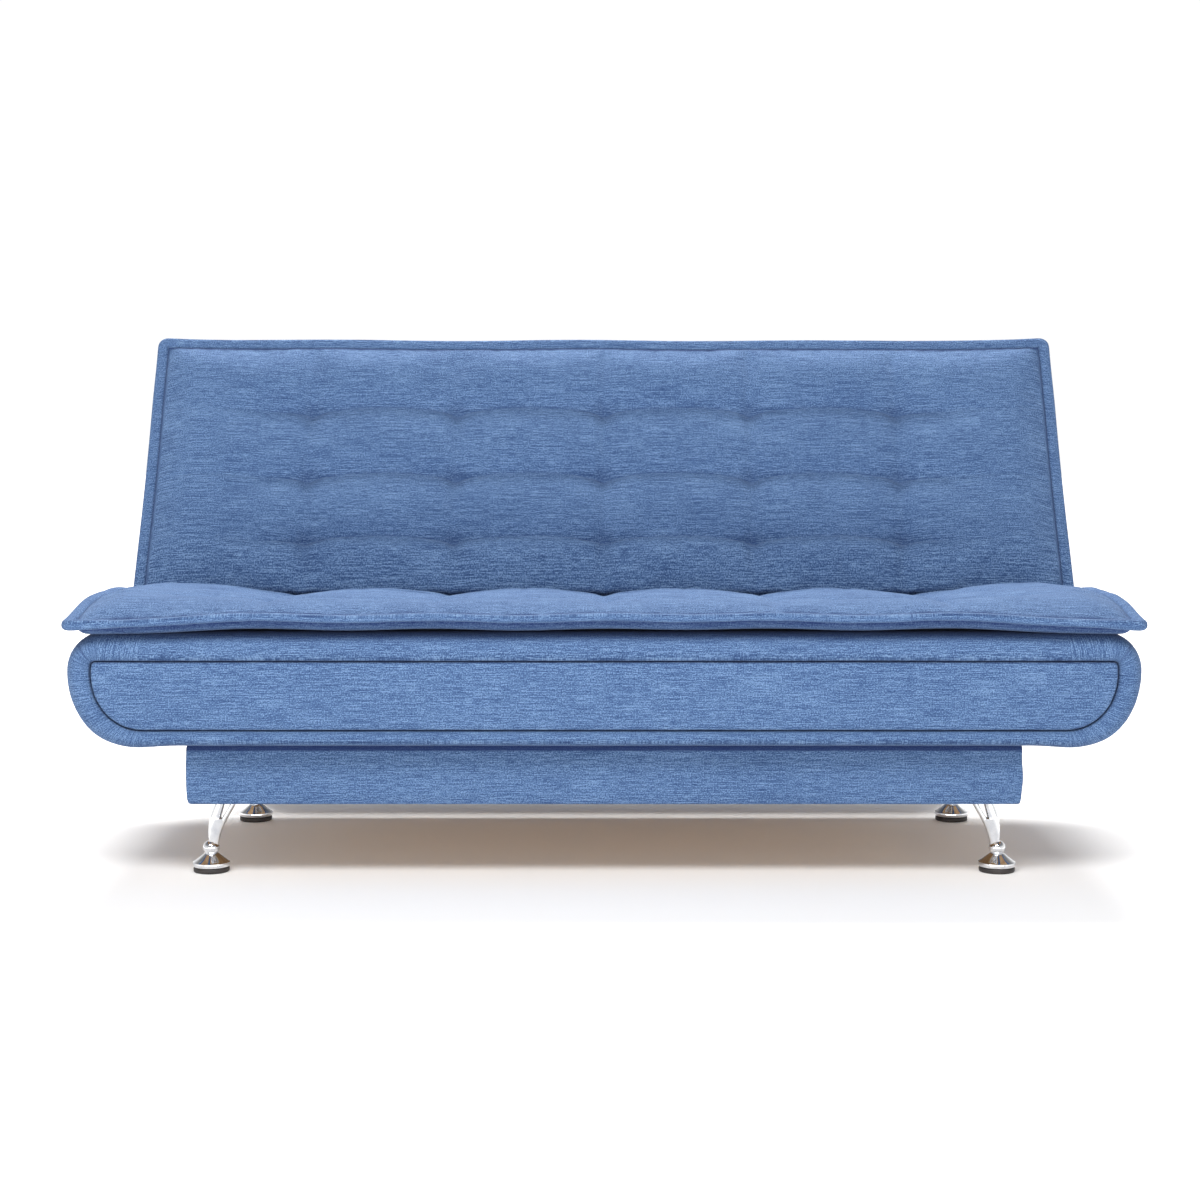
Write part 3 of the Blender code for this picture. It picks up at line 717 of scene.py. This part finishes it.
def make_front():
    """Padded front of the chest: an inset panel in a rolled border, over the front board."""
    outer, panel = whole(outer_outline()), whole(panel_outline())
    inner = whole(outer_outline(0.0036))
    spine = np.stack([np.clip(panel[:, 0], -CORNER, CORNER),
                      np.full(len(panel), (FRONT_HIGH.z + FRONT_LOW.z) / 2 - 0.008)], 1)
    front = FRONT_LOW.y
    corner = smooth(np.abs(outer[:, 0]), CORNER, CORNER + 0.04)
    seam_dip = bell(np.abs(outer[:, 0]), CORNER, 0.0022)
    gather = corner * ripple(outer[:, 0], outer[:, 1], 21, 0.021)
    wobble = 0.0010 * ripple(outer[:, 0], outer[:, 1] * 3, 5, 0.31)
    rings = [place_ring(panel, front - 0.0052 + wobble * 0.6, spine, t) for t in
             (0.93, 0.75, 0.5, 0.3)]
    for toward, depth in ((0.16, -0.0046), (0.08, -0.0040), (0.045, -0.0030), (0.022, -0.0008),
                          (0.008, 0.0040), (0.0, 0.0130)):
        rings.append(place_ring(panel, front + depth + wobble * 0.4, spine, toward))
    panel_rings = len(rings)
    corner_place = np.argmin(np.hypot(*(panel - panel.max(0)).T))
    places = np.arange(len(panel))
    mitre = (places == corner_place) | (places == len(panel) - corner_place)
    mitre = (mitre & (outer[:, 1] > BELLY_Z)).astype(float)
    border = ((0.020, 0.0045), (0.05, 0.0002), (0.10, -0.0026), (0.20, -0.0056), (0.34, -0.0078),
              (0.50, -0.0076), (0.64, -0.0052), (0.77, -0.0005), (0.88, 0.0065), (0.96, 0.0160),
              (0.995, 0.0260))
    for toward, depth in border:
        bulge = sin(pi * toward)
        y = front + depth + wobble + (seam_dip + mitre) * 0.0020 * bulge + gather * 0.0011 * bulge
        rings.append(place_ring(panel, y, outer, toward))
    lumps = 1 - 0.0012 * gather * corner
    back = FRONT_BOARD_HIGH.y
    for y in (front + 0.0345, back - 0.004, back - 0.0016):
        ring = place_ring(outer, y)
        ring[:, 0] *= lumps
        rings.append(ring)
    for y in (back - 0.0003, back - 0.0178):
        rings.append(place_ring(inner, y))
    verts, faces = strip(rings)
    count = len(outer)
    faces += ladder(0, count)
    faces += ladder((len(rings) - 1) * count, count)
    arc_out = np.cumsum(np.r_[0, np.hypot(*np.diff(outer, axis=0).T)])
    row_of = np.repeat(np.arange(len(rings)), count)
    runs = np.cumsum(np.r_[0, [np.abs(b - a).max() for a, b in zip(rings, rings[1:])]])
    rows = row_of.reshape(-1, count)
    # Painted shade: dark lines in the groove of the panel's seam and along the upright and mitre
    # seams of the border
    seam_and_painted_shade = np.select([rows == panel_rings - 1, rows == panel_rings - 2, rows == panel_rings],
                     [0.95, 0.40, 0.40], 0.0)
    upright = (np.abs(np.abs(outer[:, 0]) - CORNER) < 0.0004) & (outer[:, 1] > BELLY_Z)
    # Painted shadow of the seat's overhang on the top roll, and painted shade along the bottom
    # roll
    roll = (smooth(outer[:, 1], FRONT_HIGH.z - 0.02, FRONT_HIGH.z) * 0.85
            + 0.45 * (1 - smooth(outer[:, 1], FRONT_LOW.z, FRONT_LOW.z + 0.005)))
    seam_and_painted_shade = np.maximum(seam_and_painted_shade, roll * np.clip((rows - panel_rings - 6) / 4, 0, 1))
    seam_and_painted_shade = np.maximum(seam_and_painted_shade, np.where(rows > panel_rings, 0.45 * np.maximum(upright, mitre), 0))

    def coords(face, index):
        """The weave lies flat on the panel and the border, and turns at the corners."""
        row = int(row_of[index])
        x, y, z = verts[index]
        lowest = min(row_of[i] for i in face.vertices)
        if row < panel_rings or lowest < panel_rings - 1:
            return (x, z)
        middle = np.mean([abs(verts[i][0]) for i in face.vertices])
        if middle < CORNER + 0.0001:
            return (x + 0.33, z + (y - front) + 0.7)
        return (runs[row], arc_out[index % count] + 2.0)

    piece = make_piece("chest_front_cushion", verts, faces, coords, [BLUE], "chest",
                       ("chest_front_padding",), subdivide=1, seam_and_painted_shade=seam_and_painted_shade.ravel())


def flank_profile(inset=0.0):
    """Side bolster's section, from the foot of its curve up and over the side board."""
    top = FRONT_HIGH.z - inset
    lower, upper = boat_side(inset)
    curve = slump(np.concatenate([bezier(*lower, 40)[:-1], bezier(*upper, 20)]))
    board_x = SIDE_BOARD_HIGH.x + 0.0006
    lip = SIDE_BOARD_HIGH.z + 0.0004
    curve = curve[curve[:, 0] > board_x + 0.004]
    over = np.linspace(0.857 - inset, SIDE_BOARD_LOW.x + 0.0012, 10)
    top_run = np.stack([over, np.full(10, top)], 1)
    ending = np.array([(SIDE_BOARD_LOW.x + 0.0004, lip + 0.0012),
                       (SIDE_BOARD_LOW.x + 0.0008, lip), (board_x, lip),
                       (board_x, 0.40), (board_x, 0.34), (board_x, 0.28),
                       (board_x, curve[0, 1] + 0.0016)])
    return np.concatenate([curve, top_run, ending])


def make_side(side, word):
    """Curved side bolster of the chest."""
    front, rear = FRONT_BOARD_HIGH.y + 0.0002, REAR_BOARD_LOW.y + 0.0006
    ys = np.concatenate([[0, 0.002, 0.006, 0.014], np.linspace(0.03, rear - front - 0.03, 40),
                         rear - front - np.array([0.014, 0.006, 0.002, 0])]) + front
    rings = []
    base = flank_profile()
    length = np.cumsum(np.r_[0, np.hypot(*np.diff(base, axis=0).T)])
    shell = np.arange(len(base)) < len(base) - 7        # all but the run along the board
    for y in ys:
        near_end = min(y - front, rear - y)
        pull = 0.0022 * np.exp(-near_end / 0.004)
        ring = flank_profile(pull)
        swell = 0.0012 * ripple(length, np.full(len(base), y), 31 + side, 0.23) * shell
        ring = ring + np.stack([swell, swell * 0.4], 1) * smooth(near_end, 0, 0.05)
        rings.append(np.stack([side * ring[:, 0], np.full(len(ring), y), ring[:, 1]], 1))
    verts, faces = capped(rings)
    coords = np.concatenate([np.stack([np.full(len(base), y), length + 0.5], 1) for y in ys])
    piece = make_piece(f"chest_bolster_{word}", verts, faces, coords, [BLUE], "chest",
                       (f"chest_side_padding_{word}",), subdivide=1)


def sill_outline():
    """Outline of the rear: the boat shape with its top cut down between the sides."""
    half = outer_outline()
    top = half[:, 1].max()
    inner = SIDE_BOARD_LOW.x + 0.0005
    keep = half[(half[:, 0] > inner + 0.006) | (half[:, 1] < BELLY_Z)]
    drop = np.array([(inner + 0.0025, top), (inner + 0.0006, top - 0.0010), (inner, top - 0.003),
                     (inner, top - 0.016), (inner, top - 0.032), (inner, SILL + 0.003),
                     (inner - 0.001, SILL + 0.0008), (inner - 0.004, SILL)])
    run = np.stack([np.linspace(inner - 0.012, 0, 60), np.full(60, SILL)], 1)
    return whole(np.concatenate([keep, drop, run]))


def shrunk(outline, inset):
    """A closed outline moved inward by a small distance."""
    ahead, behind = np.roll(outline, -1, 0), np.roll(outline, 1, 0)
    along = ahead - behind
    along /= np.linalg.norm(along, axis=1, keepdims=True)
    return outline + inset * np.stack([-along[:, 1], along[:, 0]], 1)


def make_rear():
    """Cover of the chest's rear: cloth pulled over the board's edges and tacked behind."""
    front, rear = REAR_BOARD_LOW.y, REAR_HIGH.y
    outline = sill_outline()
    steps = ((0.0034, front + 0.0186), (0.0034, front + 0.0006), (0.0, front + 0.003),
             (0.0, front + 0.010), (0.0, rear - 0.007), (0.0008, rear - 0.0035),
             (0.0022, rear - 0.0012), (0.0040, rear - 0.0002))
    rings = [place_ring(shrunk(outline, inset), y) for inset, y in steps]
    rim = shrunk(outline, 0.004)
    ear = smooth(outline[:, 1], SILL, FRONT_HIGH.z - 0.004) * (np.abs(outline[:, 0]) < 0.83)
    reach = 0.81 + 0.03 * ear
    spine = np.stack([np.where(ear > 0, np.sign(rim[:, 0]) * reach,
                               np.clip(rim[:, 0], -0.84, 0.84)),
                      np.full(len(rim), 0.318)], 1)
    for t in (0.06, 0.25, 0.5, 0.75, 0.9):
        ring = place_ring(rim, rear + 0.0004, spine, t)
        ring[:, 1] += 0.0006 * ripple(ring[:, 0], ring[:, 2], 44, 0.5) * min(t * 3, 1)
        rings.append(ring)
    verts, faces = strip(rings)
    count = len(outline)
    faces += ladder(0, count) + ladder((len(rings) - 1) * count, count)
    coords = np.stack([verts[:, 0], verts[:, 2] + verts[:, 1]], 1)
    make_piece("chest_rear_upholstery", verts, faces, coords, [BLUE], "chest",
               ("chest_rear_cover",))


# ---------------- plinth, legs, rear panel
def rounded_rectangle(x_half, y_low, y_high, radius):
    """Points along a rectangle with round corners, at most 12 mm apart."""
    points = []
    for cx, cy, turn in ((x_half - radius, y_high - radius, 0),
                         (radius - x_half, y_high - radius, 1),
                         (radius - x_half, y_low + radius, 2),
                         (x_half - radius, y_low + radius, 3)):
        for a in np.linspace(0, pi / 2, 8):
            angle = turn * pi / 2 + a
            points.append((cx + radius * cos(angle), cy + radius * sin(angle)))
    dense = []
    for a, b in zip(points, points[1:] + points[:1]):
        gap = np.hypot(b[0] - a[0], b[1] - a[1])
        steps = max(1, int(gap / 0.012))
        dense += [(a[0] + (b[0] - a[0]) * i / steps, a[1] + (b[1] - a[1]) * i / steps)
                  for i in range(steps)]
    return np.array(dense)


def make_plinth():
    """Cloth sleeve round the plinth boards, turned in under their lower edge."""
    top, bottom = PLINTH_HIGH.z, PLINTH_LOW.z
    low_y, high_y, half = PLINTH_LOW.y, PLINTH_REAR, PLINTH_HIGH.x
    base = rounded_rectangle(half + 0.001, low_y - 0.001, high_y + 0.001, 0.004)
    middle = np.array([0, (low_y + high_y) / 2])
    out = base - middle
    length = np.cumsum(np.r_[0, np.hypot(*np.diff(base, axis=0).T)])
    rows = [(0.0, top - 0.0002), (0.0022, top - 0.0030), (0.0028, top - 0.0070),
            (0.0030, top - 0.0095), (0.0030, top - 0.012)]
    shaded = 4                  # rows given painted shade where the sleeve meets the chest
    rows += [(0.0030 + 0.0010 * sin(pi * t), top - 0.012 - t * (top - bottom - 0.026))
             for t in np.linspace(0.08, 1, 10)]
    rows += [(0.0026, bottom + 0.008), (0.0014, bottom + 0.0025), (0.0002, bottom - 0.0006),
             (-0.004, bottom - 0.0016), (-0.012, bottom - 0.0018), (-0.017, bottom - 0.0014),
             (-0.0175, bottom - 0.0006), (-0.012, bottom - 0.0005), (-0.0015, bottom - 0.0005)]
    rings, coords = [], []
    for grow, z in rows:
        pad = grow + (0.0007 * ripple(length, np.full(len(length), z * 4), 61, 0.3)
                      if 0.001 < grow else 0)
        pad = np.broadcast_to(pad, len(base))
        scale = np.stack([(half + pad) / half, 1 + pad / ((high_y - low_y) / 2)], 1)
        flat = out * scale + middle
        rings.append(np.column_stack([flat, np.full(len(base), z)]))
        coords.append(np.stack([length, np.full(len(base), z - min(grow, 0))], 1))
    rings.append(np.column_stack([base * (1 - 0.0006), np.full(len(base), bottom + 0.0004)]))
    coords.append(np.stack([length, np.full(len(base), 3.0)], 1))
    verts, faces = strip(rings)
    seam_and_painted_shade = np.zeros((len(rings), len(base)))
    # Painted shade on the top rows, under the chest
    seam_and_painted_shade[:shaded] = 0.85
    piece = make_piece("plinth_cover", verts, faces, np.concatenate(coords), [BLUE], "chest",
                       subdivide=1, seam_and_painted_shade=seam_and_painted_shade.ravel())


def make_back_panel():
    """Upholstered rear panel of the back, with a sewn hem and a slight swell."""
    low, high = panel_box(COVER_NODE)
    rim = np.array([0, 0.0012, 0.004, 0.008, 0.011, 0.0125, 0.014, 0.018, 0.03])
    xs = np.concatenate([low[0] + rim, np.linspace(low[0] + 0.05, high[0] - 0.05, 90),
                         high[0] - rim[::-1]])
    us = np.concatenate([low[1] + rim, np.linspace(low[1] + 0.05, high[1] - 0.05, 28),
                         high[1] - rim[::-1]])
    x, u = (a.ravel() for a in np.meshgrid(xs, us, indexing="ij"))
    edge = np.minimum(np.minimum(x - low[0], high[0] - x), np.minimum(u - low[1], high[1] - u))
    outer = low[2] + 0.003 * np.exp(-edge / 0.0015) - 0.0012 * smooth(edge, 0.013, 0.25)
    outer += 0.0010 * bell(edge, 0.0125, 0.0016)
    outer += 0.0005 * ripple(x, u, 71, 0.4) * smooth(edge, 0.013, 0.06)
    outer[edge < 1e-9] = high[2] - 0.0025
    inner = np.full(len(x), high[2])
    inner[edge < 1e-9] = high[2] - 0.0015
    verts, faces = slab(x, u, inner, outer, len(xs), len(us))
    coords = np.stack([verts[:, 0], verts[:, 1] + 0.9], 1)
    make_piece("back_rear_panel", back_space(verts), faces, coords, [BLUE], "back",
               ("back_cover",), subdivide=1)


def panel_box(node):
    """Corners of a back node in panel coordinates, with the back laid flat."""
    co = np.array([v.co for v in node.data.vertices])
    y, z = co[:, 1] - HINGE.y, co[:, 2] - HINGE.z
    u, w = y * cos(RAISE) + z * sin(RAISE), z * cos(RAISE) - y * sin(RAISE)
    flat = np.column_stack([co[:, 0], u, w])
    return flat.min(0), flat.max(0)


# ---------------- legs and feet
def turned(profile, centre, sides=72):
    """A body turned about an upright line, from its (radius, height) profile."""
    angles = np.linspace(0, tau, sides, endpoint=False)
    rings = [np.column_stack([centre[0] + r * np.cos(angles), centre[1] + r * np.sin(angles),
                              np.full(sides, z)]) for r, z in profile]
    return capped(rings)


FORK = 0.0955               # height at which a leg's shaft forks into its prongs


def leg_rings(side, x, y, top):
    """Sections of the leaning shaft up to where it forks, then of its two prongs."""
    heights = np.linspace(0.043, FORK, 15)
    outer = bezier((x + 0.0035, 0.042), (x + 0.0072, 0.085), (x + 0.002, 0.104),
                   (x - 0.013, top), 60)
    inner = bezier((x - 0.0125, 0.042), (x - 0.016, 0.074), (x - 0.028, 0.094),
                   (x - 0.052, top), 60)
    slot_in = bezier((x - 0.0195, FORK), (x - 0.0215, 0.101), (x - 0.0310, 0.110),
                     (x - 0.0385, top), 40)
    slot_out = bezier((x - 0.0180, FORK), (x - 0.0185, 0.101), (x - 0.0225, 0.110),
                      (x - 0.0275, top), 40)

    def at(curve, z):
        """A curve's x at a height."""
        return np.interp(z, curve[:, 1], curve[:, 0])

    def section(x_low, x_high, z, depth):
        """A rounded oblong ring at a height."""
        points = []
        for a in np.linspace(0, tau, 28, endpoint=False):
            points.append((side * ((x_low + x_high) / 2 + (x_high - x_low) / 2
                                   * np.sign(cos(a)) * abs(cos(a)) ** 0.75),
                           y + depth * np.sign(sin(a)) * abs(sin(a)) ** 0.75, z))
        return np.array(points)

    shaft = [section(at(inner, z), at(outer, z), z, 0.0075 + 0.0025 * (z - 0.043) / 0.05)
             for z in heights]
    split = x - 0.0195
    lap = 0.001                 # by which the prongs reach past each other below the fork
    prongs = []
    for left, right in ((inner, slot_in), (slot_out, outer)):
        rings = []
        for z in np.linspace(0.0935, top, 14):
            a, b = at(left, z), at(right, z)
            if z < FORK and left is inner:
                b = split + lap
            elif z < FORK:
                a = split - lap
            rings.append(section(a, b, z, 0.0098))
        prongs.append(rings)
    return shaft, prongs


def make_leg(end, side, word):
    """Chrome leg: turned foot, leaning shaft and fork, joined under a screw plate."""
    low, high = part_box(f"leg_{end}_{word}")
    pad_low, pad_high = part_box(f"foot_pad_{end}_{word}")
    x, y = abs(pad_low.x + pad_high.x) / 2, (pad_low.y + pad_high.y) / 2
    top = high.z - 0.0025
    base = low.z
    cone = bezier((0.0330, 0.0175), (0.0262, 0.0210), (0.0185, 0.0285), (0.0108, 0.0338), 14)
    ball = [(0.0020 + 0.0130 * cos(a), 0.0425 + 0.0130 * sin(a))
            for a in np.linspace(radians(-41), radians(66), 16)]
    profile = [(0.0300, base), (0.0318, base + 0.0003), (0.0328, base + 0.0012),
               (0.0333, base + 0.0030), (0.0333, 0.0155), (0.0330, 0.0168)]
    profile += [tuple(p) for p in cone] + ball
    parts = [turned(profile, (side * x, y))]
    shaft, prongs = leg_rings(side, x, y, top)
    parts += [capped(rings) for rings in (shaft, *prongs)]
    plate_half = 0.0325
    plate = rounded_rectangle(plate_half, -0.022, 0.022, 0.006)
    rings = [np.column_stack([plate * s + (side * (x - plate_half), y), np.full(len(plate), z)])
             for s, z in ((0.985, top - 0.0008), (1.0, top - 0.0002), (1.0, high.z - 0.0006),
                          (0.99, high.z - 0.0001))]
    parts.append(capped(rings))
    faces, start = [], 0
    for part_verts, part_faces in parts:
        faces += [tuple(i + start for i in f) for f in part_faces]
        start += len(part_verts)
    verts = np.concatenate([part_verts for part_verts, _ in parts])
    piece = make_piece(f"chrome_leg_{end}_{word}", verts, faces, verts[:, :2] * 0, [CHROME],
                       "chest", (f"leg_{end}_{word}",))
    piece.data.set_sharp_from_angle(angle=radians(42))
    pad = [(0.0240, 0.0), (0.0298, 0.0), (0.0312, 0.0008), (0.0319, 0.0024), (0.0320, 0.0066),
           (0.0316, 0.0080), (0.0306, pad_high.z - 0.0002), (0.0290, pad_high.z)]
    verts, faces = turned(pad, (side * x, y))
    piece = make_piece(f"rubber_pad_{end}_{word}", verts, faces, verts[:, :2], [RUBBER], "chest",
                       (f"foot_pad_{end}_{word}",))
    piece.data.set_sharp_from_angle(angle=radians(50))


# ---------------- CAD nodes that stay
def dress_nodes():
    """Rich materials for the frame's own timber, board and steel parts.

    The two rails along the hinge line are wrapped in dark lining, whose darkness paints the shade
    of the gap there."""
    for name, node in frame["nodes"].items():
        if any(word in name for word in ("arm", "bracket", "ratchet", "pawl", "bolt")):
            chosen = ZINC
        elif name in ("seat_rear_rail", "back_bottom_rail"):
            chosen = GAP_SHADE_LINING
        elif "slat" in name or name.endswith(("left_rail", "right_rail")):
            chosen = PINE_Y
        elif "rail" in name or "block" in name:
            chosen = PINE_X
        elif "board" in name or name == "chest_floor":
            chosen = PLY
        else:
            continue
        node.data.materials.clear()
        node.data.materials.append(chosen)


# ---------------- stage
CAMERA_PLACE = (-0.0075, SEAT_LOW.y - 3.65, 0.795)
CAMERA_DIP = 4.645          # degrees below level
FOCAL = 64.61               # millimetres, on a 36 mm sensor
FLOOR_REACH = 30
FLOOR_FADE = (1.5, 4.5)     # distances over which the floor's glow grows until it turns plain white


def make_stage():
    """Pale floor, white surround, soft lights, a hidden card that shades the floor, the camera."""
    def sheet(name, corners, material):
        mesh = bpy.data.meshes.new(name)
        mesh.from_pydata(corners, [], [(0, 1, 2, 3)])
        mesh.materials.append(material)
        made = add_object(name, mesh)
        return made

    m = Nodes("pale_floor")
    place = m.place()
    away = m.add("ShaderNodeVectorMath", {0: place}, operation="LENGTH").outputs["Value"]
    # The floor glows though it is no lamp: faintly near the sofa, which lightens its shadow, and
    # fully far off, where it turns into the white surround
    m.set(Base_Color=(0.93, 0.92, 0.91, 1), Roughness=0.7, Specular_IOR_Level=0.2,
          Emission_Color=(1, 0.96, 0.94, 1),
          Emission_Strength=m.span(away, *FLOOR_FADE, 0.06, 1.0))
    r = FLOOR_REACH
    sheet("floor", [(-r, -r, 0), (r, -r, 0), (r, r, 0), (-r, r, 0)], m.material)

    world = bpy.data.worlds.new("white_surround")
    bpy.context.scene.world = world
    world.use_nodes = True
    tree = world.node_tree
    toward = tree.nodes.new("ShaderNodeTexCoord")
    height = tree.nodes.new("ShaderNodeSeparateXYZ")
    glow = tree.nodes.new("ShaderNodeMapRange")
    for socket, value in {"From Min": 0.26, "From Max": 0.60, "To Min": 1.02,
                          "To Max": 0.25}.items():
        glow.inputs[socket].default_value = value
    tree.links.new(toward.outputs["Generated"], height.inputs[0])
    tree.links.new(height.outputs["Z"], glow.inputs["Value"])
    tree.links.new(glow.outputs["Result"], tree.nodes["Background"].inputs["Strength"])
    tree.nodes["Background"].inputs["Color"].default_value = (1, 1, 1, 1)

    def area(name, place, target, size, power):
        lamp = bpy.data.lights.new(name, "AREA")
        lamp.shape = "RECTANGLE"
        lamp.size, lamp.size_y = size
        lamp.energy = power
        made = add_object(name, lamp)
        made.location = place
        made.rotation_euler = (Vector(target) - Vector(place)).to_track_quat("-Z", "Y").to_euler()
        made.visible_camera = False

    area("over_rear", (0.0, 2.0, 3.6), (0, -0.15, 0.45), (3.6, 1.4), 280)
    area("key", (-0.6, -3.4, 4.0), (0, 0, 0.4), (3.4, 1.4), 208)
    area("floor_glow", (0.0, -1.75, 0.06), (0, -0.4, 0.26), (3.0, 0.5), 16)

    grey = Nodes("card_grey").set(Base_Color=(0.5, 0.5, 0.5, 1), Roughness=0.9)
    half, y, low, high = 0.72, 0.40, 0.01, 0.37
    card = sheet("shade_card", [(-half, y, low), (half, y, low), (half, y, high),
                                (-half, y, high)], grey)
    card.visible_camera = False

    lens = bpy.data.cameras.new("camera")
    lens.sensor_width = 36
    lens.lens = FOCAL
    lens.clip_end = 100
    camera = add_object("camera", lens)
    bpy.context.scene.camera = camera
    camera.location = CAMERA_PLACE
    camera.rotation_euler = (radians(90 - CAMERA_DIP), 0, 0)
    bpy.context.scene.view_settings.view_transform = "Standard"


# ---------------- build everything
dress_nodes()
make_mattress("seat_mattress_tufted", "seat_mattress", "seat", seat_space, settle_seat,
              SEAT_CROWN, (0.80, 0.60), 1)
make_mattress("back_mattress_tufted", "back_mattress", "back", back_space, settle_back,
              BACK_CROWN, (0.72, 0.42), 2)
make_linings()
make_front()
for each_side, each_word in ((-1, "left"), (1, "right")):
    make_side(each_side, each_word)
    for each_end in ("front", "rear"):
        make_leg(each_end, each_side, each_word)
make_rear()
make_plinth()
make_back_panel()
make_stage()
